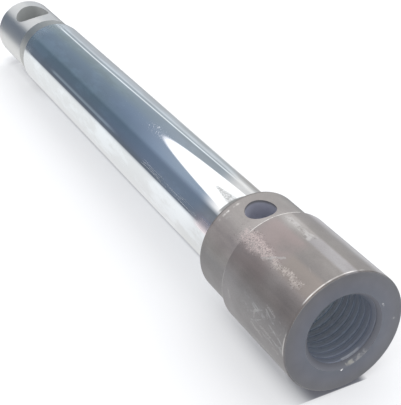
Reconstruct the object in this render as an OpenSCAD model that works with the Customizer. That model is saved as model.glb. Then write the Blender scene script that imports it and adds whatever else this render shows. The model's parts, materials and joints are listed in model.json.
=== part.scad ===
// Hard-chromed piston rod of a high-pressure piston pump.
// It is one turned piece, and it stands on the end face of its head.
// The rod's axis is Z, and both cross holes run along Y, so they face the front.

/* [Head] */
// Outside diameter of the head
head_d = 22; // [20:0.5:32]
// Length of the head, from its end face back to the step
head_l = 20; // [16:0.5:40]
// Chamfer round the head's end face
head_chamfer = 0.2; // [0.2:0.1:1.5]
// Edge break round the back of the head
head_back_break = 0.2; // [0.1:0.1:0.6]

/* [Collar] */
// How far the head stands out past the collar, on the radius
collar_step = 0.8; // [0.6:0.1:1.5]
// Length of the collar, from the step back to the shaft
collar_l = 9.4; // [8:0.2:20]
// Chamfer round the back of the collar
collar_chamfer = 0.2; // [0.2:0.1:0.8]

/* [Shaft] */
// Chromed diameter that runs in the seals
shaft_d = 16; // [13:0.5:18]
// Length of full chromed diameter, from the collar to the lead-in
shaft_l = 97; // [40:1:300]
// Fillet in the corner between the shaft and the collar
shaft_fillet = 0.5; // [0.2:0.1:0.8]
// Length of the taper that leads the seals onto the shaft
lead_in_l = 4.6; // [1:0.2:10]

/* [Neck] */
// Diameter of the bare neck
neck_d = 14.8; // [11:0.2:15.6]
// Length of the neck, from the lead-in to its end face
neck_l = 16; // [12:0.5:40]
// Chamfer round the neck's end face
neck_chamfer = 0.4; // [0.2:0.1:1.2]
// Diameter of the drive pin
pin_d = 8; // [4:0.5:9]
// Play of the drive pin in its hole, on the diameter
pin_play = 0.1; // [0.02:0.02:0.2]
// Distance from the neck's end face to the pin's axis
pin_from_end = 8.3; // [6:0.1:10]

/* [Centre hole] */
// Pilot diameter of the centre that the rod was ground on
centre_pilot_d = 2; // [1:0.5:3]
// Depth of the pilot below the cone
centre_pilot_l = 1.2; // [0.5:0.1:3]
// Diameter of the centre's cone at the end face
centre_cone_d = 4.2; // [3.2:0.2:6]

/* [Valve bore] */
// Nominal diameter of the internal thread
thread_d = 14; // [10:0.5:15]
// Pitch of the internal thread
thread_pitch = 1.5; // [1:0.25:2]
// Depth of full thread below the end face
thread_l = 13; // [8:0.5:14]
// Run-out of the tap past the full thread
thread_run_out = 1.5; // [0.5:0.5:3]
// Lip of the mouth's countersink past the thread, on the radius
mouth_lip = 0.15; // [0.05:0.05:0.5]
// Diameter of the ball chamber behind the thread
chamber_d = 10.5; // [6:0.5:11]
// How far the chamber's wall runs past the axis of the outlet port
chamber_past_port = 1.3; // [0:0.1:3]
// Point angle of the drill that made the chamber
drill_point = 118; // [90:1:140]

/* [Outlet port] */
// Diameter of the outlet port through the collar
port_d = 5.5; // [3:0.5:7]
// Distance from the step to the port's axis
port_from_step = 4.2; // [3.6:0.1:6]

/* [Hidden] */
$fn = 128;
steel_color = "#c3c9ce";
cut = 1;

// The bore is cut at the thread's minor diameter
minor_ratio = 1.0825;
centre_cone_angle = 60;

head_r = head_d / 2;
collar_r = head_r - collar_step;
shaft_r = shaft_d / 2;
neck_r = neck_d / 2;

collar_z = head_l;
shaft_z = collar_z + collar_l;
lead_in_z = shaft_z + shaft_l;
neck_z = lead_in_z + lead_in_l;
end_z = neck_z + neck_l;
pin_z = end_z - pin_from_end;
port_z = collar_z + port_from_step;

tap_r = (thread_d - minor_ratio * thread_pitch) / 2;
tap_l = thread_l + thread_run_out;
mouth_r = thread_d / 2 + mouth_lip;
chamber_r = chamber_d / 2;
chamber_end_z = port_z + chamber_past_port;
chamber_tip_z = chamber_end_z + chamber_r / tan(drill_point / 2);

pilot_r = centre_pilot_d / 2;
cone_r = centre_cone_d / 2;
cone_l = (cone_r - pilot_r) / tan(centre_cone_angle / 2);

// Half section of the rod as it comes off the lathe, before it is bored
module rod_section() {
    polygon([
        [0, 0],
        [head_r - head_chamfer, 0],
        [head_r, head_chamfer],
        [head_r, collar_z - head_back_break],
        [head_r - head_back_break, collar_z],
        [collar_r, collar_z],
        [collar_r, shaft_z - collar_chamfer],
        [collar_r - collar_chamfer, shaft_z],
        [shaft_r, shaft_z],
        [shaft_r, lead_in_z],
        [neck_r, neck_z],
        [neck_r, end_z - neck_chamfer],
        [neck_r - neck_chamfer, end_z],
        [0, end_z]
    ]);
    translate([shaft_r, shaft_z])
        difference() {
            square(shaft_fillet);
            translate([shaft_fillet, shaft_fillet])
                circle(shaft_fillet);
        }
}

// Half section of the valve bore: countersunk mouth, thread, ball chamber and drill point
module valve_bore_section() {
    polygon([
        [0, -cut],
        [mouth_r + cut, -cut],
        [tap_r, mouth_r - tap_r],
        [tap_r, tap_l],
        [chamber_r, tap_l],
        [chamber_r, chamber_end_z],
        [0, chamber_tip_z]
    ]);
}

// Half section of the centre hole in the neck's end face
module centre_section() {
    polygon([
        [0, end_z - cone_l - centre_pilot_l],
        [pilot_r, end_z - cone_l - centre_pilot_l],
        [pilot_r, end_z - cone_l],
        [cone_r, end_z],
        [cone_r, end_z + cut],
        [0, end_z + cut]
    ]);
}

// A hole straight through along Y, at height z in a round bar of diameter bar_d
module cross_hole(d, z, bar_d) {
    translate([0, 0, z])
        rotate([90, 0, 0])
            cylinder(d = d, h = bar_d + 2 * cut, center = true);
}

module piston_rod() {
    color(steel_color)
        difference() {
            rotate_extrude()
                rod_section();
            rotate_extrude()
                valve_bore_section();
            rotate_extrude()
                centre_section();
            cross_hole(port_d, port_z, head_d);
            cross_hole(pin_d + pin_play, pin_z, shaft_d);
        }
}

piston_rod();
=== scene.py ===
# %% [markdown]
# # A chrome piston rod
# The rod comes from a high-pressure piston pump. It is one turned piece of steel: a thick head with a
# threaded bore for the valve, a collar with a cross port, a long shaft plated with hard chrome, and a bare
# neck with a hole for the drive pin. This lesson models it in one mesh, gives each turned zone its own
# finish, and lights it as in the photograph, where it lies on a white table. The first cell loads the
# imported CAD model, which fixes the frame and the size. Blender counts in metres, while a drawing of a
# turned part is in millimetres, so `MM` stands between them.

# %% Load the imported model
import json
import math

import bmesh
import bpy
from mathutils import Matrix, Vector

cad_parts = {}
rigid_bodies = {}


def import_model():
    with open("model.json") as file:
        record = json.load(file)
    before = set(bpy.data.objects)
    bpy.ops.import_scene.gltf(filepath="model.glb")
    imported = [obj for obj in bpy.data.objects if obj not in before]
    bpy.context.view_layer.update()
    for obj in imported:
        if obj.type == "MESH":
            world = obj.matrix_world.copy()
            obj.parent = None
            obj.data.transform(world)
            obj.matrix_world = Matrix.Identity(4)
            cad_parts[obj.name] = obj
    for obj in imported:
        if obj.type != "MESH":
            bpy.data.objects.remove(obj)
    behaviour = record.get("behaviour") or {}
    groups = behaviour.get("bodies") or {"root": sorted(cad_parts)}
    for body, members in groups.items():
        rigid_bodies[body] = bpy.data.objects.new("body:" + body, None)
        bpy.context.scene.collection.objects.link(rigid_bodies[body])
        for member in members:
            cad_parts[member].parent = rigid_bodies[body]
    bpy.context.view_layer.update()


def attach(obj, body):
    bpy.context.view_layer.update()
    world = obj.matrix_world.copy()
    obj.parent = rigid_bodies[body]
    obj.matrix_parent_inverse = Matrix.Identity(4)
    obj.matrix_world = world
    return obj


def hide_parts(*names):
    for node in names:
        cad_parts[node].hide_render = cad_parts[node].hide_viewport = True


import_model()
MM = 0.001

# %% [markdown]
# ## The camera
# The photograph was taken close to the head, looking down the rod. A camera could be moved by hand until
# the picture fits, but here its place and its three axes were worked out from the round edges of the rod,
# which fits better. A camera object looks along its own -Z with +Y up, so its matrix takes the picture's
# right, up and backward directions as columns. Depth of field stays off.

# %% Camera
IMAGE_SIZE = (401, 405)
FOCAL_PIXELS = 1091.58
SENSOR_WIDTH = 36
CAMERA_PLACE = Vector((-68.184, -112.729, -111.320)) * MM
CAMERA_RIGHT = Vector((0.88048, 0.11908, -0.45888))
CAMERA_DOWN = Vector((-0.34377, 0.82692, -0.44501))
CAMERA_FORWARD = Vector((0.32646, 0.54957, 0.76902))

camera_data = bpy.data.cameras.new("photo_camera")
camera_data.sensor_width = SENSOR_WIDTH
camera_data.lens = SENSOR_WIDTH * FOCAL_PIXELS / max(IMAGE_SIZE)
camera_data.clip_start = 10 * MM
camera = bpy.data.objects.new("photo_camera", camera_data)
camera_turn = Matrix((CAMERA_RIGHT, -CAMERA_DOWN, -CAMERA_FORWARD)).transposed()
camera.matrix_world = Matrix.Translation(CAMERA_PLACE) @ camera_turn.to_4x4()
bpy.context.collection.objects.link(camera)
bpy.context.scene.camera = camera
bpy.context.scene.view_settings.view_transform = "Standard"
print("camera lens:", round(camera_data.lens, 2), "mm")

# %% [markdown]
# ## Helpers for node trees
# Every finish here is a small tree of nodes. It could be wired up by hand in the shader editor, but code
# can be read and repeated. `node` adds one node and fills or links its sockets. A socket knows the tree
# that it belongs to, so a node that is linked to one needs no word of its tree. `ramp` sets the stops of a
# colour ramp. Colours of the room are written as they look on a screen, and `seen` turns them into the
# linear values that shaders count in.

# %% Node helpers
def seen(red, green, blue):
    """A colour as a screen shows it, 0 to 255, in linear values with alpha."""
    def linear(value):
        value /= 255
        return value / 12.92 if value <= 0.04045 else ((value + 0.055) / 1.055) ** 2.4
    return (linear(red), linear(green), linear(blue), 1)


def node(kind, settings=None, tree=None, **sockets):
    """Adds a node. Sockets are given by name or as in_0, in_1, and a socket value is linked."""
    linked = [value for value in sockets.values() if isinstance(value, bpy.types.NodeSocket)]
    tree = tree or linked[0].id_data
    made = tree.nodes.new(kind)
    for name, value in (settings or {}).items():
        setattr(made, name, value)
    for name, value in sockets.items():
        key = int(name[3:]) if name.startswith("in_") else name.replace("_", " ")
        socket = made.inputs[key]
        if isinstance(value, bpy.types.NodeSocket):
            tree.links.new(value, socket)
        else:
            socket.default_value = value
    return made


def ramp(factor, stops, smooth=False):
    """A colour ramp through (position, colour) stops, where a colour may be one grey number."""
    made = node("ShaderNodeValToRGB", in_0=factor)
    made.color_ramp.interpolation = "EASE" if smooth else "LINEAR"
    elements = made.color_ramp.elements
    while len(elements) < len(stops):
        elements.new(1)
    for element, (position, colour) in zip(elements, stops):
        element.position = position
        element.color = colour if isinstance(colour, tuple) else (colour, colour, colour, 1)
    return made.outputs[0]


print("node helpers ready, white is", seen(255, 255, 255))

# %% [markdown]
# ## Helpers for masks
# A stain or a scrape has a place and soft edges. A mask says where it is, as a number from 0 to 1 at each
# point. It could be painted on an image, but an image has a fixed sharpness, so the masks here are sums on
# the coordinates. `between` is a soft step and `straight` an even one, `band` is a step up and a step down,
# `times` keeps what lies in all of its masks and `largest` the strongest one, and `mix` lays a colour on.

# %% Mask helpers
def math_node(operation, first, second=0.0, clamp=False):
    settings = {"operation": operation, "use_clamp": clamp}
    return node("ShaderNodeMath", settings, in_0=first, in_1=second).outputs[0]


def times(first, *others):
    for other in others:
        first = math_node("MULTIPLY", first, other)
    return first


def largest(first, *others):
    for other in others:
        first = math_node("MAXIMUM", first, other)
    return first


def between(value, low, high, out_low=0.0, out_high=1.0, kind="SMOOTHSTEP"):
    """Runs smoothly from out_low to out_high while the value goes from low to high."""
    return node("ShaderNodeMapRange", {"interpolation_type": kind}, in_0=value, in_1=low, in_2=high,
                in_3=out_low, in_4=out_high).outputs[0]


def straight(value, low, high, out_low=0.0, out_high=1.0):
    return between(value, low, high, out_low, out_high, "LINEAR")


def band(value, low, high, soft):
    """One between low and high, falling to nothing over soft on each side."""
    return times(between(value, low - soft, low), between(value, high + soft, high))


def mix(factor, first, second, blend="MIX"):
    settings = {"data_type": "RGBA", "blend_type": blend}
    return node("ShaderNodeMix", settings, in_0=factor, in_6=first, in_7=second).outputs[2]


def parts(vector):
    return node("ShaderNodeSeparateXYZ", in_0=vector).outputs


def vector_node(operation, first, second):
    """Works on two vectors. A distance and a dot product give a number, the others a vector."""
    made = node("ShaderNodeVectorMath", {"operation": operation}, in_0=first, in_1=second)
    return made.outputs["Value" if operation in ("DISTANCE", "DOT_PRODUCT") else "Vector"]


print("mask helpers ready")

# %% [markdown]
# ## The room that the chrome shows
# Chrome has hardly any colour of its own: what it shows is the room. Cards and lamps round the rod could
# make the bands on it, but every card would also light the table. So the world itself holds the room, as
# colours by direction. Each ring goes once round the rod's axis: the white table, a dark wall on the left,
# a blue-grey wall, a thin line of light, a pale wall on the right, and the table again. The far ring is
# what the shaft shows towards the neck, the near ring what it shows towards the head, and the collar ring
# what it shows close to the collar. The standing ring is a plain studio for the sides that the photograph
# doesn't show. A stop is an angle and a colour, as it looks in the chrome for the first three rings.

# %% Room colours
CHROME_TINT = (0.80, 0.81, 0.82, 1)
LAMP_LINE = (222.74, 230.84, 236.72)
FAR_RING = [
    (-180, 212, 214, 216), (-150, 218, 221, 223), (-104, 225, 229, 231), (-97, 222, 227, 230),  # table
    (-92.0, 199, 204, 209), (-88.2, 94, 101, 111), (-83, 93, 102, 114), (-67, 90, 102, 116),  # dark wall
    (-58, 89, 104, 119), (-38, 86, 103, 117),
    (-29, 104, 121, 136), (-8, 109, 125, 142), (16, 117, 133, 149), (40, 129, 143, 151),  # blue-grey wall
    (58.6, 141, 153, 161), (60.4, *LAMP_LINE), (63.4, *LAMP_LINE),
    (66.0, 153, 163, 171), (73.0, 153, 163, 171), (76.5, 192, 200, 207), (81, 189, 197, 204),  # pale wall
    (87, 174, 181, 188), (104, 172, 178, 184), (120, 163, 168, 173), (140, 172, 175, 178),
    (180, 212, 214, 216),
]
NEAR_RING = [
    (-180, 214, 216, 218), (-150, 218, 220, 222), (-104, 226, 229, 231), (-97, 226, 230, 233),  # table
    (-92.0, 203, 208, 213), (-88.2, 97, 104, 116), (-83, 102, 112, 126), (-69, 106, 119, 137),  # dark wall
    (-45, 104, 119, 138), (-39, 109, 123, 143),
    (-27, 141, 157, 177), (-14, 147, 162, 180), (20, 152, 163, 174), (45, 150, 159, 167),  # blue-grey wall
    (58.6, 144, 154, 162), (60.4, *LAMP_LINE), (63.4, *LAMP_LINE),
    (66.0, 160, 169, 176), (69.0, 160, 169, 176), (73, 194, 201, 207), (80, 190, 197, 203),  # pale wall
    (86, 173, 180, 186), (108, 160, 166, 170), (117, 160, 165, 169),
    (128, 192, 196, 199), (140, 221, 224, 226), (180, 214, 216, 218),
]
COLLAR_RING = [
    (-180, 210, 212, 213), (-104, 218, 220, 222), (-97, 206, 206, 209),  # table
    (-87, 140, 138, 144), (-70, 116, 118, 127), (-57, 120, 126, 136), (-41, 112, 119, 127),  # collar's shade
    (-35, 183, 188, 194), (-29, 241, 242, 244), (-22, 253, 253, 254), (50, 236, 236, 236),  # window
    (58, 210, 211, 212), (72, 209, 210, 211), (82, 228, 229, 229), (88, 220, 221, 221),  # pale wall
    (96, 184, 185, 186), (114, 158, 158, 158), (128, 172, 172, 172), (180, 210, 212, 213),
]
STANDING_RING = [
    (-180, 214, 217, 220), (-150, 150, 158, 168), (-128, 238, 240, 242), (-104, 238, 240, 242),
    (-85, 96, 106, 118), (-37, 90, 102, 116), (-23, 240, 242, 244), (10, 246, 248, 250),
    (26, 150, 160, 172), (60, 128, 140, 154), (82, 226, 229, 232), (104, 214, 218, 222),
    (126, 104, 114, 126), (158, 150, 158, 168), (180, 214, 217, 220),
]


def mirrored(red, green, blue):
    """The room's colour that looks like this when chrome reflects it."""
    return tuple(c / t for c, t in zip(seen(red, green, blue)[:3], CHROME_TINT)) + (1,)


def ring(angle, stops, colour=mirrored, smooth=False):
    """Colours round the rod's axis, from stops of (degrees, red, green, blue)."""
    share = straight(angle, -180.0, 180.0)
    return ramp(share, [(turn / 360 + 0.5, colour(*rgb)) for turn, *rgb in stops], smooth)


print("stops in the rings:", [len(stops) for stops in (FAR_RING, NEAR_RING, COLLAR_RING, STANDING_RING)])

# %% [markdown]
# ## Directions in the room
# For a world, the Generated coordinate is the direction of the ray. Its angle round the rod's axis picks
# the place on a ring, and its share along the axis picks the ring. The lamp that makes the thin bright
# line isn't quite parallel to the rod. A real lamp would be turned a little, so here the angle shifts.

# %% Directions
LAMP_LEAN = -17.5

world = bpy.data.worlds.new("room")
bpy.context.scene.world = world
world.use_nodes = True
tree = world.node_tree
tree.nodes.clear()
direction = node("ShaderNodeTexCoord", tree=tree).outputs["Generated"]
across, back, along = parts(direction)
turn_angle = math_node("DEGREES", math_node("ARCTAN2", across, times(back, -1)))
lamp_lean = times(straight(along, 0.862, 0.766, 0.0, LAMP_LEAN),
                  between(turn_angle, 28, 62), between(turn_angle, 125, 95))
leaned_angle = math_node("ADD", turn_angle, lamp_lean)
print("directions:", len(tree.nodes), "nodes")

# %% [markdown]
# ## Walls, window and sky
# The rings blend into each other along the axis. A bright window overhead fills all directions that are
# about 70 degrees or more from its axis, and its round edge makes the white wedge near the collar. What
# the head's end face sees is greyer, and straight below it is the floor. Only reflected rays see this
# room: the soft light on the rod, and what the camera sees past everything, is plain white.

# %% Walls, window and sky
WINDOW_AXIS, WINDOW_COSINE, WINDOW_SOFT = (-0.1583, 0.5307, 0.8326), 0.3480, 0.004
WINDOW_WHITE, SKY_WHITE = (1.36, 1.37, 1.38, 1), (1, 1, 1, 1)
THIN_LINE = mirrored(126, 139, 151)
NEAR_ROOM, STEEP_FLOOR = seen(130, 132, 143), seen(226, 229, 232)

room = mix(between(along, 0.834, 0.786), ring(leaned_angle, FAR_RING), ring(leaned_angle, NEAR_RING))
by_collar = times(between(along, 0.773, 0.7585), between(along, 0.738, 0.748))
room = mix(by_collar, room, ring(turn_angle, COLLAR_RING))
thin_line = times(between(turn_angle, -80.5, -76.5), between(turn_angle, -67, -75),
                  between(along, 0.826, 0.838), between(along, 0.872, 0.869))
room = mix(thin_line, room, THIN_LINE)
window_dot = vector_node("DOT_PRODUCT", direction, WINDOW_AXIS)
window = times(between(window_dot, WINDOW_COSINE + WINDOW_SOFT, WINDOW_COSINE - WINDOW_SOFT),
               between(turn_angle, -44, -33))
room = mix(window, room, WINDOW_WHITE)
standing = ring(turn_angle, STANDING_RING, seen, smooth=True)
room = mix(between(along, 0.25, 0.48), standing, room)
room = mix(between(along, -0.45, -0.65), room, NEAR_ROOM)
room = mix(between(along, -0.90, -0.96), room, STEEP_FLOOR)
rays = node("ShaderNodeLightPath", tree=tree).outputs
sky = mix(rays["Is Glossy Ray"], SKY_WHITE, room)
sky = mix(rays["Is Camera Ray"], sky, SKY_WHITE)
backdrop = node("ShaderNodeBackground", Color=sky)
node("ShaderNodeOutputWorld", Surface=backdrop.outputs[0])
print("world with", len(tree.nodes), "nodes")

# %% [markdown]
# ## Shade on the table
# Where the head touches the table there is a narrow dark line, under the shaft a seam, and beside the head
# and the neck a soft shade. Lamps cast such shade by themselves, but the broad light that the chrome needs
# leaves it too weak. So it is painted in the table's material: `patch` makes one soft-edged area by the
# place on the table, and the darkest area wins.

# %% Table shade
FRONT_SLANT, SEAM_SLANT = 0.0966, 0.0147
HEAD_REST = (2 * MM, 11 * MM, 3 * MM)


def patch(strength, *edges):
    """A patch of shade: the strength times one smooth step for each (value, low, high) in mm."""
    return times(strength, *(between(value, low * MM, high * MM) for value, low, high in edges))


def table_shade(tree):
    """How dark the table is round the rod."""
    place = node("ShaderNodeTexCoord", tree=tree).outputs["Object"]
    x, _, z = parts(place)
    front = math_node("ADD", z, times(x, FRONT_SLANT))
    seam = math_node("ADD", x, times(z, SEAM_SLANT))
    reach = vector_node("DISTANCE", place, HEAD_REST)
    fall = math_node("POWER", straight(x, -11.3 * MM, -7.5 * MM), 2)
    return largest(
        patch(1.0, (front, 0.05, 0.32), (x, -9.5, -5.2), (x, 4.2, 2.3), (z, 12, 6)),  # contact line
        patch(0.5, (seam, -3.6, -2.9), (x, 6, 4), (z, 33, 38), (z, 150, 130)),  # under the shaft
        patch(times(fall, 0.45), (x, 3, -1), (front, 0.05, 0.32), (z, 38, 13)),  # beside the head
        patch(0.13, (x, -7.2, -5.6), (x, 1, -3), (z, 118, 128), (z, 148, 144)),  # beside the neck
        patch(0.30, (x, -8.5, -5.0), (x, 1, -3), (z, 142.5, 146), (z, 151, 147.5)),  # the neck's end
        patch(0.085, (reach, 28, 8), (x, -9, -3)))  # in front of the head


print("table shade helpers ready")

# %% [markdown]
# ## White that shows from one side
# The photograph's table is almost pure white. More light would whiten it, but it would bleach the rod as
# well, so the white glows a little by itself. The table and the floor cross each other, so each one is
# clear from behind, and a camera on the other side looks through it.

# %% One-sided white
TABLE_WHITE, TABLE_GLOW = 0.5, 0.45
GLOW, CONTACT_GLOW = (1, 1.01, 1.035, 1), (0.1, 0.1, 0.12, 1)
CONTACT_SHADE = (0.2, 0.21, 0.235, 1)


def one_sided_white(name, contact=False):
    """White that glows a little and is clear from behind, with the shade round the rod painted on it."""
    material = bpy.data.materials.new(name)
    material.use_nodes = True
    tree = material.node_tree
    tree.nodes.clear()
    shade, glow = (0.99 * TABLE_WHITE, TABLE_WHITE, 1.02 * TABLE_WHITE, 1), GLOW
    if contact:
        dark = table_shade(tree)
        shade = mix(dark, shade, CONTACT_SHADE)
        glow = mix(dark, glow, CONTACT_GLOW)
    matt = node("ShaderNodeBsdfDiffuse", tree=tree, Color=shade)
    glowing = node("ShaderNodeEmission", tree=tree, Color=glow, Strength=TABLE_GLOW)
    lit = node("ShaderNodeAddShader", in_0=matt.outputs[0], in_1=glowing.outputs[0])
    clear = node("ShaderNodeBsdfTransparent", tree=tree)
    back = node("ShaderNodeNewGeometry", tree=tree).outputs["Backfacing"]
    shown = node("ShaderNodeMixShader", in_0=back, in_1=lit.outputs[0], in_2=clear.outputs[0])
    node("ShaderNodeOutputMaterial", Surface=shown.outputs[0])
    return material


table_white, floor_white = one_sided_white("table_white", contact=True), one_sided_white("floor_white")
print("table white:", len(table_white.node_tree.nodes), "nodes")

# %% [markdown]
# ## The table and the floor
# In the photograph the rod lies on the back rim of its head and the far end of its shaft, so the table
# leans a little to the rod's axis. In the shared frame the rod stands on its head, so there is a floor
# under it as well. The rod could be laid down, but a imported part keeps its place, so the table is turned
# to it instead. Neither plane is mirrored in the rod, because the room already holds the table.

# %% Table and floor
HEAD_R, SHAFT_R = 11.0, 8.0
HEAD_L, COLLAR_L, SHAFT_L, BACK_BREAK = 20.0, 9.4, 97.0, 0.2
SHAFT_Z = HEAD_L + COLLAR_L
LEAD_IN_Z = SHAFT_Z + SHAFT_L
REST_Z = HEAD_L - BACK_BREAK
TABLE_LEAN = (HEAD_R - SHAFT_R) / (LEAD_IN_Z - REST_Z)
TABLE_CORNERS = ((-400, -150), (500, -150), (500, 700), (-400, 700))
FLOOR_CORNERS = ((-1.5, -1.5, 0), (1.5, -1.5, 0), (1.5, 1.5, 0), (-1.5, 1.5, 0))


def as_object(name, bm):
    mesh = bpy.data.meshes.new(name)
    bm.to_mesh(mesh)
    bm.free()
    made = bpy.data.objects.new(name, mesh)
    bpy.context.collection.objects.link(made)
    return made


def stage_plane(name, corners, material):
    bm = bmesh.new()
    bm.faces.new([bm.verts.new(corner) for corner in corners])
    plane = as_object(name, bm)
    plane.data.materials.append(material)
    for ray in ("visible_diffuse", "visible_glossy", "visible_transmission", "visible_shadow"):
        setattr(plane, ray, False)
    print(name, "faces", [round(v, 3) for v in plane.data.polygons[0].normal])


table_corners = [Vector((x, HEAD_R - TABLE_LEAN * (z - REST_Z), z)) * MM for x, z in TABLE_CORNERS]
stage_plane("table", table_corners, table_white)
stage_plane("floor", FLOOR_CORNERS, floor_white)

# %% [markdown]
# ## The lamp
# The photograph's light is broad and soft, with no hard shadow. An area lamp would need a place out of the
# camera's sight, while a sun only needs a direction, and a wide angle makes it soft. It isn't mirrored in
# the rod, since the window in the room stands for it there.

# %% Lamp
SUN_FROM = Vector((0.62, -0.75, 0.06))
SUN_LEVEL, SUN_WIDTH = 1.5, 70

sun_data = bpy.data.lights.new("window_light", "SUN")
sun_data.energy, sun_data.angle = SUN_LEVEL, math.radians(SUN_WIDTH)
sun = bpy.data.objects.new("window_light", sun_data)
sun.rotation_mode = "QUATERNION"
sun.rotation_quaternion = SUN_FROM.to_track_quat("Z", "Y")
sun.visible_glossy = False
bpy.context.collection.objects.link(sun)
print("lamp:", SUN_WIDTH, "degrees wide")

# %% [markdown]
# ## The turned body
# A lathe makes the rod by turning a bar against a tool, and a spin does the same to a profile: the half
# section is drawn once as a chain of points, its corners are broken with a small vertex bevel, and the
# chain is spun a full turn about Z. Stacked cylinders could be joined instead, but they would leave
# seams where the real rod has none.

# %% Turned body
TURN, ROUND_STEPS, MERGE = math.tau, 256, 1e-7
COLLAR_R, NECK_R, LEAD_IN_L, NECK_L = 10.2, 7.4, 4.6, 16.0
NECK_Z = LEAD_IN_Z + LEAD_IN_L
END_Z = NECK_Z + NECK_L
HEAD_CHAMFER, COLLAR_CHAMFER, NECK_CHAMFER, SHAFT_FILLET, CORNER = 0.2, 0.2, 0.4, 0.5, 0.05


def spun(name, profile, corner=0.0, steps=ROUND_STEPS):
    """Spins a chain of (radius, height) points, in mm, a full turn about Z."""
    bm = bmesh.new()
    chain = [bm.verts.new((r * MM, 0, z * MM)) for r, z in profile]
    for ends in zip(chain, chain[1:]):
        bm.edges.new(ends)
    if corner:
        bmesh.ops.bevel(bm, geom=chain[1:-1], affect="VERTICES", offset=corner * MM, segments=3,
                        profile=0.5, material=-1)
    bmesh.ops.spin(bm, geom=bm.verts[:] + bm.edges[:], cent=(0, 0, 0), axis=(0, 0, 1),
                   angle=TURN, steps=steps, use_merge=True)
    bmesh.ops.remove_doubles(bm, verts=bm.verts, dist=MERGE)
    bmesh.ops.recalc_face_normals(bm, faces=bm.faces)
    return as_object(name, bm)


fillet = [(SHAFT_R + SHAFT_FILLET * (1 - math.sin(a)), SHAFT_Z + SHAFT_FILLET * (1 - math.cos(a)))
          for a in (math.radians(d) for d in (15, 30, 45, 60, 75))]
rod = spun("piston_rod_body", [
    (0, 0), (HEAD_R - HEAD_CHAMFER, 0), (HEAD_R, HEAD_CHAMFER),
    (HEAD_R, HEAD_L - BACK_BREAK), (HEAD_R - BACK_BREAK, HEAD_L), (COLLAR_R, HEAD_L),
    (COLLAR_R, SHAFT_Z - COLLAR_CHAMFER), (COLLAR_R - COLLAR_CHAMFER, SHAFT_Z),
    (SHAFT_R + SHAFT_FILLET, SHAFT_Z), *fillet, (SHAFT_R, SHAFT_Z + SHAFT_FILLET),
    (SHAFT_R, LEAD_IN_Z), (NECK_R, NECK_Z),
    (NECK_R, END_Z - NECK_CHAMFER), (NECK_R - NECK_CHAMFER, END_Z), (0, END_Z)], corner=CORNER)
print("turned body:", len(rod.data.polygons), "faces")

# %% [markdown]
# ## The tap
# The valve screws into an M14 thread in the head. A ring of bumps would be easier, but it would show as
# rings, so the thread is cut as in the workshop, with a tap. One tooth is spun with a rise of one pitch a
# turn, the turns are merged into one skin, its ends are cut square and closed, and its last turns taper as
# on a real tap. The tooth stops short of full depth, because old grease fills the roots of this thread.

# %% Tap
PITCH, GREASE_R, TAP_R, THREAD_L, TAP_L = 1.5, 6.72, 6.188, 13.0, 14.5
FLANK_ANGLE, TAP_STEPS, TAP_LEAD, TAP_START, WELD = 60, 128, 2.0, -1.0, 1e-6


def tap():
    bm = bmesh.new()
    flat, flank = PITCH / 4, (GREASE_R - TAP_R) / math.tan(math.radians(FLANK_ANGLE))
    tooth = [(TAP_R, 0), (TAP_R, flat), (GREASE_R, flat + flank), (GREASE_R, PITCH - flank), (TAP_R, PITCH)]
    start = -TAP_LEAD * PITCH
    chain = [bm.verts.new((r * MM, 0, (start + z) * MM)) for r, z in tooth]
    edges = [bm.edges.new(ends) for ends in zip(chain, chain[1:])]
    turns = math.ceil(TAP_LEAD + TAP_L / PITCH) + 1
    bmesh.ops.spin(bm, geom=chain + edges, cent=(0, 0, 0), axis=(0, 0, 1), angle=TURN * turns,
                   dvec=(0, 0, PITCH * MM / TAP_STEPS), steps=TAP_STEPS * turns)
    bmesh.ops.remove_doubles(bm, verts=bm.verts, dist=WELD)
    for height, way in ((TAP_START, 1), (TAP_L, -1)):
        bmesh.ops.bisect_plane(bm, geom=bm.verts[:] + bm.edges[:] + bm.faces[:], dist=MERGE,
                               plane_co=(0, 0, height * MM), plane_no=(0, 0, way), clear_inner=True)
    for vert in bm.verts:
        tapered = GREASE_R - (GREASE_R - TAP_R) * (vert.co.z / MM - THREAD_L) / (TAP_L - THREAD_L)
        radius = vert.co.xy.length / MM
        if radius > tapered:
            vert.co.xy *= max(tapered, TAP_R) / radius
    bmesh.ops.holes_fill(bm, edges=[edge for edge in bm.edges if edge.is_boundary], sides=0)
    bmesh.ops.recalc_face_normals(bm, faces=bm.faces)
    return as_object("tap", bm)


thread_tap = tap()
print("tap:", len(thread_tap.data.polygons), "faces")

# %% [markdown]
# ## Cutting the holes
# After the thread the other holes are drilled: the countersunk mouth, the ball chamber with its drill
# point, the outlet port through the collar, the pin hole through the neck, and the small centre that the
# rod was ground on. They could be modelled face by face, but an exact Boolean gives the curves where two
# round walls meet for free. The tools reach past the rod, so that no two faces lie in one plane.

# %% Cutting the holes
MOUTH_R, CHAMBER_R, CHAMBER_Z, CHAMBER_TIP_Z = 7.15, 5.25, 25.5, 28.654
PORT_R, PORT_Z, PIN_R, PIN_Z = 2.75, 24.2, 4.05, 138.7
PILOT_R, PILOT_L, CONE_R, CONE_L, CONE_FLARE = 1.0, 1.2, 2.1, 1.905, 0.5774
MOUTH_L = MOUTH_R - TAP_R
PAST, INSIDE = 1, 0.2


def cross_drill(name, radius, height):
    bm = bmesh.new()
    place = Matrix.Translation((0, 0, height * MM)) @ Matrix.Rotation(math.radians(90), 4, "X")
    bmesh.ops.create_cone(bm, cap_ends=True, segments=128, radius1=radius * MM, radius2=radius * MM,
                          depth=3 * HEAD_R * MM, matrix=place)
    return as_object(name, bm)


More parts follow.
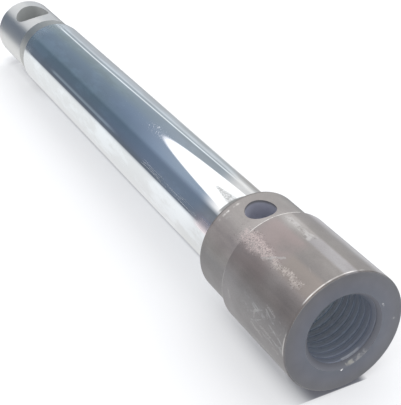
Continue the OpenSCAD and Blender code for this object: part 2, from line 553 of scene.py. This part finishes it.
def cut(body, tool):
    """Cuts a tool's shape out of a body, and puts the tool away."""
    cutting = body.modifiers.new(tool.name, "BOOLEAN")
    cutting.operation, cutting.solver, cutting.object = "DIFFERENCE", "EXACT", tool
    with bpy.context.temp_override(object=body, active_object=body):
        bpy.ops.object.modifier_apply(modifier=cutting.name)
    print(tool.name, "leaves", len(body.data.polygons), "faces")
    bpy.data.objects.remove(tool)


cut(rod, thread_tap)
cut(rod, spun("countersink", [(0, -PAST), (MOUTH_R + PAST, -PAST), (TAP_R - INSIDE, MOUTH_L + INSIDE),
                              (0, MOUTH_L + INSIDE)], steps=192))
cut(rod, spun("chamber_drill", [(0, THREAD_L), (CHAMBER_R, THREAD_L), (CHAMBER_R, CHAMBER_Z),
                                (0, CHAMBER_TIP_Z)], steps=160))
cut(rod, cross_drill("port_drill", PORT_R, PORT_Z))
cut(rod, cross_drill("pin_drill", PIN_R, PIN_Z))
cut(rod, spun("centre_drill", [(0, END_Z - CONE_L - PILOT_L), (PILOT_R, END_Z - CONE_L - PILOT_L),
                               (PILOT_R, END_Z - CONE_L), (CONE_R + CONE_FLARE, END_Z + PAST),
                               (0, END_Z + PAST)], steps=96))

# %% [markdown]
# ## Deburring
# A real rod is deburred after drilling. A Boolean leaves burrs of its own: faces with no area, which shade
# wrongly and spoil their neighbours. They could be hunted by hand, but one operator dissolves them all.

# %% Deburring
bm = bmesh.new()
bm.from_mesh(rod.data)
bmesh.ops.dissolve_degenerate(bm, edges=bm.edges, dist=WELD)
print("cleaned rod:", len(bm.faces), "faces,", sum(edge.is_boundary for edge in bm.edges), "open edges")
bm.to_mesh(rod.data)
bm.free()

# %% [markdown]
# ## Helpers for finishes
# A finish is a Principled shader whose colour and roughness change from place to place. UV maps could say
# where a point is, but a turned part has a simpler map: its height along the axis, its distance from the
# axis, and its angle round it. `round_place` gives these three, and the marks are placed by them.

# %% Finish helpers
def finish(name):
    """A new material with its tree, and the object's own coordinates in millimetres."""
    material = bpy.data.materials.new(name)
    material.use_nodes = True
    tree = material.node_tree
    tree.nodes.clear()
    place = node("ShaderNodeTexCoord", tree=tree).outputs["Object"]
    in_mm = node("ShaderNodeVectorMath", {"operation": "SCALE"}, in_0=place, Scale=1 / MM).outputs[0]
    return material, tree, in_mm


def noise(place, scale, stretch=(1, 1, 1), detail=4.0, roughness=0.55):
    """Grey noise on coordinates in mm, stretched along the axes."""
    stretched = vector_node("MULTIPLY", place, stretch)
    return node("ShaderNodeTexNoise", Vector=stretched, Scale=scale, Detail=detail,
                Roughness=roughness).outputs[0]


def round_place(place):
    """Height along the rod in mm, distance from its axis in mm, and angle from the front in degrees."""
    x, y, z = parts(place)
    squares = math_node("ADD", times(x, x), times(y, y))
    angle = math_node("DEGREES", math_node("ARCTAN2", x, times(y, -1)))
    return z, math_node("POWER", squares, 0.5), angle


def off_middle(value, middle, half_width):
    """How far a value lies from a middle, in half widths."""
    off = math_node("ABSOLUTE", math_node("SUBTRACT", value, middle))
    return math_node("DIVIDE", off, half_width)


def lay(base, *marks):
    """Lays marks of (mask, share, colour) on the base colour, one over another."""
    for mask, share, colour in marks:
        base = mix(times(mask, share), base, colour)
    return base


def metal(colour, roughness, metallic=1.0, **sockets):
    """The shader of a finish, with more of its sockets by name, and the output that shows it."""
    shader = node("ShaderNodeBsdfPrincipled", Base_Color=colour, Roughness=roughness, Metallic=metallic,
                  **sockets)
    node("ShaderNodeOutputMaterial", Surface=shader.outputs[0])


print("finish helpers ready")

# %% [markdown]
# ## Hard chrome
# The shaft is plated and ground to a mirror, so it is a metal with almost no roughness. A plain mirror
# would do from afar. What makes it look real is the little that is wrong with it: a thin film of oil, a
# bluish stretch, a worn patch, and by the collar a thin dark line and a pinkish, rougher patch.

# %% Hard chrome
FILM_TINT, BLUE_TINT = (0.895, 0.92, 0.945, 1), (0.85, 0.865, 0.955, 1)
WORN_GREY, DARK_LINE_GREY = (0.33, 0.335, 0.335, 1), (0.15, 0.15, 0.148, 1)
PINK_TINT = (0.98, 0.84, 0.85, 1)
WORN_ANGLE, WORN_TOP = -8.3, 38.6

chrome, tree, place = finish("hard_chrome")
height, _, angle = round_place(place)
film = noise(place, 0.20, (1, 1, 0.4), detail=6, roughness=0.62)
chrome_colour = mix(between(film, 0.46, 0.64), CHROME_TINT, FILM_TINT)
bluer = times(band(height, 62, 74, 14), band(angle, -50, 12, 6))
grain = noise(place, 2.4, (1, 1, 0.7), detail=4, roughness=0.7)
worn_share = off_middle(angle, WORN_ANGLE, straight(height, WORN_TOP, 33.0, 1.2, 8.0))
worn = times(between(worn_share, 1.1, 0.5), between(height, WORN_TOP, 37.8),
             between(grain, 0.38, 0.60, 0.45, 1.0))
# A pinkish, slightly rougher patch on the shaft by the collar.
pink_patch = times(band(angle, -62, -52, 6), band(height, 29, 34.5, 3))
# A thin dark line round the shaft by the collar.
dark_line_by_collar = times(band(height, 31.75, 32.25, 0.35), band(angle, -25, 4, 9))
chrome_colour = lay(chrome_colour, (bluer, 0.7, BLUE_TINT), (worn, 0.85, WORN_GREY),
                    (pink_patch, 0.9, PINK_TINT), (dark_line_by_collar, 0.85, DARK_LINE_GREY))
print("chrome colour:", len(tree.nodes), "nodes")

# %% [markdown]
# ## Marks in the chrome
# Marks in a mirror show less by colour than by roughness: they blur the room in it. There are fine lines
# along the rod where it slid through its seals, some dents, a scored strip, and a duller end at the neck.
# Bump could cut them in, but they are so shallow that roughness alone looks the same.

# %% Marks in the chrome
rubbed = noise(place, 2.2, (1, 1, 0.03), detail=5)
dents = times(band(angle, -10, -1, 5), band(height, 60, 65, 3), between(grain, 0.58, 0.66))
scored = times(band(angle, -56, -50, 2), band(height, 38, 58, 3),
               between(noise(place, 6.0, (1, 1, 0.015), detail=2), 0.53, 0.60))
duller_end = between(height, 119, 125)
chrome_rough = largest(between(rubbed, 0.35, 0.85, 0.02, 0.06), times(dents, 0.4),
                       times(scored, 0.45), times(pink_patch, 0.28), times(duller_end, 0.17))
metal(chrome_colour, chrome_rough)
print("chrome:", len(tree.nodes), "nodes")

# %% [markdown]
# ## The oxidised head
# The head and the collar are bare turned steel that has gone warm grey. One flat grey would look like
# plastic. Their tone changes round the rod, partly where hands, oil and the pump's wall have touched them
# differently and partly as painted light and shade: darker and lighter sides and painted highlights. Two
# ramps by angle set the tone of the head and of the collar. A tone is an angle, a level and a tint.

# %% Oxidised head
COOL, PLAIN, WARM = (0.97, 1.0, 1.05), (1.0, 1.0, 1.0), (1.04, 1.0, 1.0)
# Painted light and shade in these stops: darker lower sides, a painted highlight at 6.5 to 16 degrees and a
# brighter painted highlight at 38 to 56 degrees.
HEAD_TONES_AND_SHADE = [
    (-180, 0.64, COOL), (-112, 0.60, COOL), (-100, 0.76, COOL), (-80, 0.76, COOL), (-66, 0.74, COOL),
    (-54, 0.69, WARM), (-43, 0.77, WARM), (-33, 0.97, WARM), (-22, 0.90, PLAIN), (-10, 0.79, PLAIN),
    (3, 0.80, PLAIN), (6.5, 0.96, PLAIN), (16, 1.03, PLAIN), (18.5, 0.75, PLAIN), (33.0, 0.76, PLAIN),
    (38, 1.12, COOL), (43, 1.40, COOL), (48, 1.12, COOL), (56, 0.84, COOL), (90, 0.80, PLAIN),
    (180, 0.64, COOL)]
# Painted light and shade in these stops: lighter at -50 to -14 degrees and darker from 42 degrees on.
COLLAR_TONES_AND_SHADE = [
    (-180, 0.62, COOL), (-104, 0.72, COOL), (-88, 0.72, COOL), (-72, 0.67, COOL), (-62, 0.83, PLAIN),
    (-50, 1.09, WARM), (-40, 1.15, WARM), (-26, 1.24, PLAIN), (-14, 1.14, PLAIN), (16, 0.96, PLAIN),
    (32, 0.93, PLAIN), (42, 0.80, PLAIN), (49, 0.55, PLAIN), (56, 0.40, PLAIN), (90, 0.50, PLAIN),
    (180, 0.62, COOL)]


def tones(angle, stops):
    """Tones, with painted light and shade, round the rod, from stops of (degrees, level, tint)."""
    return ramp(straight(angle, -180.0, 180.0),
                [(turn / 360 + 0.5, (*(level * c for c in tint), 1)) for turn, level, tint in stops])


oxide, tree, place = finish("oxidised_steel")
height, _, angle = round_place(place)
on_collar = between(height, 19.8, 20.2)
toned_and_shaded = mix(on_collar, tones(angle, HEAD_TONES_AND_SHADE), tones(angle, COLLAR_TONES_AND_SHADE))
print("oxidised steel:", len(HEAD_TONES_AND_SHADE) + len(COLLAR_TONES_AND_SHADE), "tones")

# %% [markdown]
# ## Grain of the oxide
# Close up, the grey is patches of darker and paler oxide, fine lines drawn along the head, and grain. One
# noise with much detail could stand for all three, but each has a size and a direction of its own, so there
# are three noises. They tint the oxide, the tones above tint it once more, and a cool painted highlight
# band lies along the lower head.

# %% Grain of the oxide
OXIDE_DARK, OXIDE, OXIDE_PALE = (0.300, 0.277, 0.270, 1), (0.345, 0.318, 0.305, 1), (0.390, 0.366, 0.352, 1)
STEP_TINT, HIGHLIGHT_TINT = (1.13, 1.13, 1.14, 1), (1.08, 1.11, 1.17, 1)


def tinted(base, tint, share=1.0):
    return mix(share, base, tint, "MULTIPLY")


patches = noise(place, 0.16, (1, 1, 0.6), detail=5)
drawn = noise(place, 1.1, (1, 1, 0.10), detail=6)
speckle = noise(place, 4.5, detail=3, roughness=0.7)
oxide_colour = ramp(patches, [(0.32, OXIDE_DARK), (0.5, OXIDE), (0.68, OXIDE_PALE)])
oxide_colour = tinted(oxide_colour, ramp(drawn, [(0.3, 0.93), (0.7, 1.06)]))
oxide_colour = tinted(oxide_colour, ramp(speckle, [(0.3, 0.92), (0.7, 1.07)]))
oxide_colour = tinted(oxide_colour, toned_and_shaded)
oxide_colour = tinted(oxide_colour, STEP_TINT, band(height, 17.5, 19.8, 4))
# Painted highlight: a cooler, lighter band at 6.5 to 15 degrees on the lower head.
painted_highlight_band = times(band(angle, 6.5, 15, 3), between(height, 12.5, 10))
oxide_colour = tinted(oxide_colour, HIGHLIGHT_TINT, painted_highlight_band)
print("oxidised steel with grain:", len(tree.nodes), "nodes")

# %% [markdown]
# ## Stains on the head
# A rod that has been clamped and oiled has a history: brown, reddish and sandy stains lie on the head. They
# could be cut from a photograph of rust, but they are faint and wide, so each one is just a band by angle
# and height, and the patchy noise of the steel breaks it up.

# %% Stains on the head
BROWN, BLUSH, SANDY = (0.20, 0.135, 0.135, 1), (0.37, 0.285, 0.28, 1), (0.345, 0.292, 0.258, 1)

brown = times(band(angle, -47, -37, 7), band(height, 12, 19, 3), between(patches, 0.3, 0.6))
blush = times(band(angle, -24, -2, 7), band(height, 11, 18, 3), between(patches, 0.25, 0.6))
sandy = times(band(angle, -30, -17, 6), band(height, 1, 8, 3))
oxide_colour = lay(oxide_colour, (brown, 0.28, BROWN), (blush, 0.55, BLUSH), (sandy, 0.5, SANDY))
print("oxidised steel with stains:", len(tree.nodes), "nodes")

# %% [markdown]
# ## The scuff
# One long scuff runs along the head, where the oxide is rubbed through in specks. A clean stripe would look
# painted. So its middle wanders, it widens towards the collar, a fine noise breaks it into specks that are
# denser in the middle, and dark pits edge it.

# %% Scuff
SCUFF_FRONT, SCUFF_BACK, PIT = (0.60, 0.535, 0.50, 1), (0.66, 0.555, 0.535, 1), (0.11, 0.085, 0.085, 1)
SCUFF_ANGLE = -26.8

wander = between(noise(place, 0.55, detail=3), 0.3, 0.7, -1.0, 4.0)
scuff_share = off_middle(math_node("ADD", angle, wander), SCUFF_ANGLE,
                         straight(height, 11.0, 18.5, 3.5, 8.2))
scuff_specks = noise(place, 4.6, (0.7, 0.8, 1.0), detail=4, roughness=0.75)
scuff_zone = times(between(scuff_share, 1.5, 0.3), band(height, 3.6, 21.3, 1.2))
denser = math_node("ADD", scuff_specks, times(scuff_zone, 0.12))
scuff = times(between(scuff_zone, 0.0, 0.25), between(denser, 0.56, 0.67))
scuff = largest(scuff, times(scuff_zone, 0.25))
scuff_colour = mix(between(height, 9, 14), SCUFF_FRONT, SCUFF_BACK)
pits = times(between(scuff_share, 1.9, 1.0), band(height, 3.5, 22.5, 2), between(scuff_specks, 0.42, 0.36))
oxide_colour = lay(oxide_colour, (scuff, 0.85, scuff_colour), (pits, 0.75, PIT))
print("oxidised steel with scuff:", len(tree.nodes), "nodes")

# %% [markdown]
# ## Helpers for scratches
# A scratch is a thin line, and a line on a round surface is easiest to draw on that surface rolled out
# flat. `strokes` stretches a noise into many thin random lines, for a surface that was wiped or dragged.
# `scratches` draws single lines from point to point, by each point's distance from the line, with a wobble.

# %% Scratch helpers
ARC = math.radians(HEAD_R)
WOBBLE = 0.9


def strokes(angle, height, lean, scale, share):
    """Thin strokes on the round surface, leaning from the rod's axis by lean degrees."""
    flat = node("ShaderNodeCombineXYZ", in_0=times(angle, ARC), in_1=height).outputs[0]
    turned = node("ShaderNodeVectorRotate", {"rotation_type": "Z_AXIS"}, in_0=flat,
                  Angle=math.radians(lean)).outputs[0]
    lines = noise(turned, scale, (1, 0.09, 1), detail=4, roughness=0.6)
    return between(lines, share, share + 0.07)


def scratches(angle, height, marks, width):
    """Single scratches on the round surface, from marks of (angle, height, angle, height)."""
    flat = node("ShaderNodeCombineXYZ", in_0=times(angle, ARC), in_1=height).outputs[0]
    wobble = node("ShaderNodeTexNoise", Vector=flat, Scale=0.9, Detail=3.0).outputs["Color"]
    flat = node("ShaderNodeVectorMath", {"operation": "MULTIPLY_ADD"}, in_0=wobble,
                in_1=(WOBBLE, WOBBLE, 0), in_2=flat).outputs[0]
    shift = Vector((WOBBLE / 2, WOBBLE / 2, 0))
    found = 0.0
    for from_angle, from_height, to_angle, to_height in marks:
        start = Vector((from_angle * ARC, from_height, 0)) + shift
        way = Vector((to_angle * ARC, to_height, 0)) + shift - start
        from_start = vector_node("SUBTRACT", flat, start)
        share = vector_node("DOT_PRODUCT", from_start, way / way.length_squared)
        nearest = node("ShaderNodeVectorMath", {"operation": "SCALE"}, in_0=way,
                       Scale=math_node("ADD", share, 0.0, clamp=True)).outputs[0]
        apart = vector_node("DISTANCE", from_start, nearest)
        found = largest(found, between(apart, width, 0.3 * width))
    return found


print("one degree round the head is", round(ARC, 3), "mm")

# %% [markdown]
# ## Scrapes and scratches
# Pale scrapes show where the rod was dragged over a bench, a few long scratches cross the head, there is
# a smudge near the top, and faint stray lines lie everywhere. They could be real grooves in the mesh, but
# they are thinner than any face of it, so they stay in the colour.

# %% Scrapes and scratches
DRAGGED = [(-86, 10.1, -90, 6.8), (-81, 7.1, -81.5, 4.1), (-72, 9.4, -78, 9.3), (-72, 9.4, -67.5, 8.1),
           (-60, 6.6, -61.5, 4.0), (-63.5, 6.4, -68, 5.7), (-102, 9.5, -104, 5.0), (-89.5, 3.2, -90.5, 1.6),
           (-78.5, 17.7, -84, 17.0), (8, 12.6, 14, 10.8), (-30, 27.2, -26, 26.6)]
LONG_SCRATCH = (-33.5, 13.4, -21, 9.8)
SCRAPED, SCRATCHED, STRAY = (0.46, 0.465, 0.47, 1), (0.50, 0.485, 0.475, 1), (0.52, 0.50, 0.48, 1)
SMUDGE_PALE, SMUDGE_DARK = (0.60, 0.585, 0.58, 1), (0.13, 0.125, 0.12, 1)

scraped = times(band(angle, -84, -64, 6), band(height, 2, 11, 3),
                between(noise(place, 0.8, (1, 1, 0.6), detail=4), 0.42, 0.58),
                largest(strokes(angle, height, 14, 1.2, 0.52),
                        strokes(angle, height, -32, 1.0, 0.56)))
dragged = times(scratches(angle, height, DRAGGED, 0.34), between(speckle, 0.36, 0.62), 0.42)
long_scratch = times(scratches(angle, height, [LONG_SCRATCH], 0.26), 0.5)
scratched = largest(dragged, long_scratch)
smear = noise(place, 1.5, (1, 1, 0.6), detail=5, roughness=0.7)
smudge = largest(times(band(angle, 6, 14, 2), band(height, 11.2, 12.4, 0.8)),
                 times(band(angle, 8.5, 12, 2.5), band(height, 12, 18, 1.5)))
pale_smudge = times(smudge, between(smear, 0.44, 0.56))
dark_smudge = times(smudge, between(smear, 0.42, 0.34))
stray = largest(strokes(angle, height, 24, 0.55, 0.66), strokes(angle, height, -52, 0.6, 0.68))
oxide_colour = lay(oxide_colour, (scraped, 0.5, SCRAPED), (scratched, 1.0, SCRATCHED),
                   (pale_smudge, 0.5, SMUDGE_PALE), (dark_smudge, 0.6, SMUDGE_DARK), (stray, 0.35, STRAY))
print("oxidised steel with scratches:", len(tree.nodes), "nodes")

# %% [markdown]
# ## Worn rims and painted highlights
# Sharp edges wear bright first, and they catch the light, so the bright rims here are partly wear and
# partly painted highlight. They are bright only along some sides, so a general edge-wear mask would
# brighten too much. The mask here takes the height of each rim, an angle range, and noise for the gaps
# between the bright dashes. A wear is two angles, a softness and a share.

# %% Worn rims and painted highlights
RIM_WEAR_AND_HIGHLIGHT = ((-84, -68, 5, 0.4), (-34, -28, 6, 0.95), (-28, -10, 6, 0.65), (-10, 20, 6, 0.32),
            (6, 11, 5, 0.85), (85, 160, 15, 0.3))
DULL_RIM, WORN_AND_LIT_RIM, COLLAR_EDGE_SHADE = (0.14, 0.14, 0.14, 1), (0.88, 0.85, 0.82, 1), (0.11, 0.106, 0.10, 1)
TURNING_DEPTH = 0.01

# Painted highlight as well as wear: the rims are bright where their edges catch the light.
wear_and_highlight = largest(0.0, *(times(band(angle, low, high, soft), share) for low, high, soft, share in RIM_WEAR_AND_HIGHLIGHT))
front_rim = times(band(height, 0.23, 0.43, 0.06), wear_and_highlight)
dull_rim = times(between(height, 0.24, 0.16), band(angle, 34, 62, 6))
step_wear_and_highlight = largest(band(angle, -20, 24, 9), times(band(angle, -112, -68, 6), 0.22))
step_rim = times(band(height, 19.68, 20.1, 0.05), step_wear_and_highlight, 0.9)
back_rim = times(band(height, 27.95, 28.25, 0.12), band(angle, -33, -14, 5),
                 between(drawn, 0.44, 0.56), 0.8)
rim_wear_and_highlights = times(largest(front_rim, step_rim, back_rim), between(noise(place, 0.9, detail=4), 0.30, 0.50))
# Painted shade: a dark line on the collar's back edge, where it meets the shaft.
collar_edge_shade = times(between(height, 28.7, 29.1), band(angle, -42, 20, 10))
oxide_colour = lay(oxide_colour, (dull_rim, 0.6, DULL_RIM), (rim_wear_and_highlights, 1.0, WORN_AND_LIT_RIM), (collar_edge_shade, 0.55, COLLAR_EDGE_SHADE))
oxide_rough = math_node("SUBTRACT", between(drawn, 0.3, 0.7, 0.40, 0.50), times(rim_wear_and_highlights, 0.1))
turning = noise(place, 6.0, (0.02, 0.02, 1), detail=2)
tool_lines = node("ShaderNodeBump", Strength=0.25, Distance=TURNING_DEPTH * MM, Height=turning)
metal(oxide_colour, oxide_rough, metallic=0.55, Normal=tool_lines.outputs[0])
print("oxidised steel:", len(tree.nodes), "nodes")

# %% [markdown]
# ## The head's face
# The end face was faced off in the lathe and has darkened. Its colour runs from blue-grey by the bore to a
# brownish grey by the rim. It could be one steel with the head, but its tone differs, so a ramp by radius
# colours it, with soft clouds, painted light towards its +X side, and a few bright nicks that are partly
# painted glints. A nick is a place, a size and a strength.

# %% Head face
NICKS_AND_GLINTS = [(-0.98, 7.34, 0.2, 1.0), (-0.75, 7.25, 0.16, 0.8), (7.35, -2.2, 0.2, 0.55), (7.5, -1.8, 0.16, 0.35),
         (9.3, 1.6, 0.22, 0.4)]
FACE_INNER, FACE, FACE_OUTER = (0.545, 0.555, 0.58, 1), (0.57, 0.56, 0.57, 1), (0.56, 0.54, 0.52, 1)
WHITE, NICK_AND_GLINT = (1, 1, 1, 1), (1.0, 0.99, 0.97, 1)


def nicks_and_glints(place):
    """Small bright nicks in the edge of the mouth, partly painted glints."""
    found = 0.0
    for x, y, size, strength in NICKS_AND_GLINTS:
        apart = vector_node("DISTANCE", place, (x, y, 0))
        found = largest(found, between(apart, size, 0.4 * size, 0.0, strength))
    return found


face_steel, tree, place = finish("head_face_steel")
_, radius, _ = round_place(place)
face_colour = ramp(between(radius, 7.0, 10.9), [(0, FACE_INNER), (0.5, FACE), (1, FACE_OUTER)])
cloud = noise(place, 0.30, detail=5)
face_colour = tinted(face_colour, ramp(cloud, [(0.3, 0.89), (0.7, 1.00)]))
# Painted light: the face is lighter towards its +X side.
painted_light_side = between(parts(place)[0], 1.5, 8.5)
nicked_and_glinting = nicks_and_glints(place)
face_colour = lay(face_colour, (painted_light_side, 0.16, WHITE), (nicked_and_glinting, 1.0, NICK_AND_GLINT))
metal(face_colour, 0.36, metallic=math_node("SUBTRACT", 1.0, nicked_and_glinting))
print("head face:", len(tree.nodes), "nodes")

# %% [markdown]
# ## The bore
# Inside, the steel is dull with old grease. Bare metal would show every turn sharply, and the photograph
# doesn't. So the bore isn't metallic, and painted light and shade in its colour even out the thread: it is
# lighter deep down and in the roots, dark and plain on the crests by the mouth, and lighter on the flanks
# that face away from the mouth.

# %% Bore
BORE_LIGHT_AND_SHADE_BY_DEPTH = [(0.0, (0.205, 0.212, 0.245, 1)), (0.045, (0.125, 0.132, 0.158, 1)),
               (0.07, (0.151, 0.168, 0.212, 1)), (0.25, (0.213, 0.242, 0.296, 1)),
               (0.45, (0.312, 0.34, 0.388, 1)), (0.6, (0.452, 0.485, 0.515, 1)), (1.0, (0.62, 0.65, 0.68, 1))]
ROOT_PAINTED_LIGHT = [(0.0, (0.90, 0.92, 0.96, 1)), (0.3, 1.10), (0.6, 1.33), (1.0, (1.82, 1.79, 1.75, 1))]
DEEP = 20.0

bore_steel, tree, place = finish("bore_steel")
height, radius, angle = round_place(place)
# Painted light and shade by depth: darker by the mouth, lighter deep in the bore where the hole is in shade.
bore_colour = ramp(straight(height, 0.0, DEEP), BORE_LIGHT_AND_SHADE_BY_DEPTH)
# Painted light in the thread's roots and, below, on the flanks that face away from the mouth.
root_painted_light = ramp(straight(radius, TAP_R, GREASE_R), ROOT_PAINTED_LIGHT)
root_painted_light = mix(between(height, 0.85, 1.15), WHITE, root_painted_light)
facing = parts(node("ShaderNodeNewGeometry", tree=tree).outputs["Normal"])[2]
flank_painted_light = straight(facing, -0.8, 0.8, 0.77, between(height, 5, 12, 1.62, 1.8))
bore_colour = tinted(bore_colour, tinted(root_painted_light, flank_painted_light))
print("bore colour:", len(tree.nodes), "nodes")

# %% [markdown]
# ## Marks in the mouth
# The valve's seat rubbed the mouth each time that it was screwed in: the countersink is paler at one side,
# and some varnish is left there. They are laid on as the stains on the head were, with a painted highlight
# on the first turn of the thread. The nicks and painted glints of the face run on into the bore, so the
# same helper draws them here.

# %% Marks in the mouth
RUBBED, VARNISH, FIRST_TURN_HIGHLIGHT = (0.37, 0.375, 0.38, 1), (0.40, 0.395, 0.35, 1), (0.55, 0.57, 0.61, 1)

blotches = between(noise(place, 1.6, detail=4), 0.40, 0.60)
rubbed_mouth = times(band(angle, 149, 172, 6), band(height, 0.0, 0.42, 0.15), blotches)
varnish = times(band(angle, 169, 178, 6), band(height, 0.18, 0.34, 0.22), blotches)
# Painted highlight along the first turn of the thread.
first_turn_highlight = times(band(angle, 153, 180, 5), band(radius, 6.62, 6.84, 0.08), band(height, 1.2, 1.7, 0.1))
bore_colour = lay(bore_colour, (rubbed_mouth, 0.55, RUBBED), (varnish, 0.6, VARNISH),
                  (first_turn_highlight, 0.6, FIRST_TURN_HIGHLIGHT), (nicks_and_glints(place), 1.0, WHITE))
metal(bore_colour, 0.8, metallic=0.0)
print("bore:", len(tree.nodes), "nodes")

# %% [markdown]
# ## The port
# The outlet port is drilled through the collar after the bore, and the fluid keeps it a little cleaner. It
# could share the bore's finish, but its wall is bluer, with a painted shade along its rim.

# %% Port
PORT_DARK, PORT_PALE = (0.40, 0.41, 0.49, 1), (0.47, 0.48, 0.57, 1)
PORT_RIM_SHADE = (0.20, 0.20, 0.215, 1)

port_steel, tree, place = finish("port_steel")
_, radius, _ = round_place(place)
port_colour = ramp(noise(place, 0.8, detail=4), [(0.3, PORT_DARK), (0.7, PORT_PALE)])
# Painted shade: a dark ring on the wall by the port's outer edge.
port_colour = mix(between(radius, 9.5, 10.0), port_colour, PORT_RIM_SHADE)
metal(port_colour, 0.6, metallic=0.2)
print("port:", len(tree.nodes), "nodes")

# %% [markdown]
# ## The neck
# The neck has no chrome. It was ground with the wheel running round it, and its fine lines stretch every
# reflection along the rod. Thousands of lines could be drawn with bump, but an anisotropic shader gives
# the same streak without noise: a radial tangent tells it which way the lines run.

# %% Neck
GROUND_LIT, GROUND_SHADED = (0.86, 0.855, 0.84, 1), (0.44, 0.44, 0.43, 1)

ground_steel, tree, place = finish("ground_steel")
_, _, angle = round_place(place)
neck_colour = mix(between(angle, 30, 52), GROUND_LIT, GROUND_SHADED)
tangent = node("ShaderNodeTangent", {"direction_type": "RADIAL", "axis": "Z"}, tree)
metal(neck_colour, 0.42, Anisotropic=0.95, Anisotropic_Rotation=0.25, Tangent=tangent.outputs[0])
print("neck:", len(tree.nodes), "nodes")

# %% [markdown]
# ## The lead-in
# A short taper leads the seals onto the shaft. The chrome ends on it, so it is duller than both of its
# neighbours. It could blend from one to the other, but the photograph shows a plain darker ring.

# %% Lead-in
LEAD_IN_LIT, LEAD_IN_SHADED = (0.50, 0.50, 0.485, 1), (0.26, 0.265, 0.26, 1)

lead_in_steel, tree, place = finish("lead_in_steel")
_, _, angle = round_place(place)
lead_in_colour = mix(between(angle, 22, 48), LEAD_IN_LIT, LEAD_IN_SHADED)
metal(lead_in_colour, 0.42)
print("lead-in:", len(tree.nodes), "nodes")

# %% [markdown]
# ## The pin hole
# One side of the hole is lighter than the other, as painted light where the room's light falls into it. A
# mirror-like wall would catch stray light from the room, so the steel here is mostly matt.

# %% Pin hole
PIN_SHADED_SIDE, PIN_LIT_SIDE = (0.43, 0.445, 0.445, 1), (0.62, 0.63, 0.63, 1)

pin_steel, tree, place = finish("drilled_steel")
# Painted light: the hole's wall is lighter towards +X.
pin_colour = mix(between(parts(place)[0], 1.6, 3.6), PIN_SHADED_SIDE, PIN_LIT_SIDE)
metal(pin_colour, 0.5, metallic=0.3)
print("pin hole:", len(tree.nodes), "nodes")

# %% [markdown]
# ## Zones
# One mesh carries all the finishes, as on the real rod. Its faces could be picked by hand, but a face's
# finish follows from where it lies: its height along the rod, its distance from the axis, and whether it is
# a hole's wall.

# %% Zones
FINISHES = [chrome, oxide, face_steel, bore_steel, port_steel, ground_steel, lead_in_steel, pin_steel]
EDGE, FACES_DOWN = 0.02, -0.9


def finish_of(face):
    x, y, z = (value / MM for value in face.center)
    radius = math.hypot(x, y)
    if math.hypot(x, z - PORT_Z) < PORT_R + EDGE and CHAMBER_R - EDGE < radius < COLLAR_R - EDGE:
        return port_steel
    if z < CHAMBER_TIP_Z + EDGE and radius < MOUTH_R and (face.normal.z > FACES_DOWN or z > EDGE):
        return bore_steel
    if math.hypot(x, z - PIN_Z) < PIN_R + EDGE and radius < NECK_R - EDGE:
        return pin_steel
    if z < EDGE:
        return face_steel
    if z < SHAFT_Z + EDGE:
        return oxide
    if z < LEAD_IN_Z + EDGE:
        return chrome
    if z < NECK_Z - EDGE:
        return lead_in_steel
    return ground_steel


for material in FINISHES:
    rod.data.materials.append(material)
for face in rod.data.polygons:
    face.material_index = FINISHES.index(finish_of(face))
print("zones:", [sum(1 for f in rod.data.polygons if f.material_index == i) for i in range(len(FINISHES))])

# %% [markdown]
# ## Smooth walls and sharp rims
# Turned walls are round and their rims are crisp. More faces would make them rounder, but smooth shading
# does it with these, as long as edges over 30 degrees stay sharp. The weighted normals let the big flat
# faces win over the thin bevels beside them, so that no shade creeps over the head's face.

# %% Smooth walls and sharp rims
SHARP = 30

rod.data.shade_smooth()
rod.data.set_sharp_from_angle(angle=math.radians(SHARP))
weighted = rod.modifiers.new("flat_faces_first", "WEIGHTED_NORMAL")
weighted.mode, weighted.keep_sharp = "FACE_AREA", True
with bpy.context.temp_override(object=rod, active_object=rod):
    bpy.ops.object.modifier_apply(modifier=weighted.name)
print("modifiers left on the rod:", len(rod.modifiers))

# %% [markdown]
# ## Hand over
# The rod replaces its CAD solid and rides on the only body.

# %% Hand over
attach(rod, "root")
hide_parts("piston_rod")
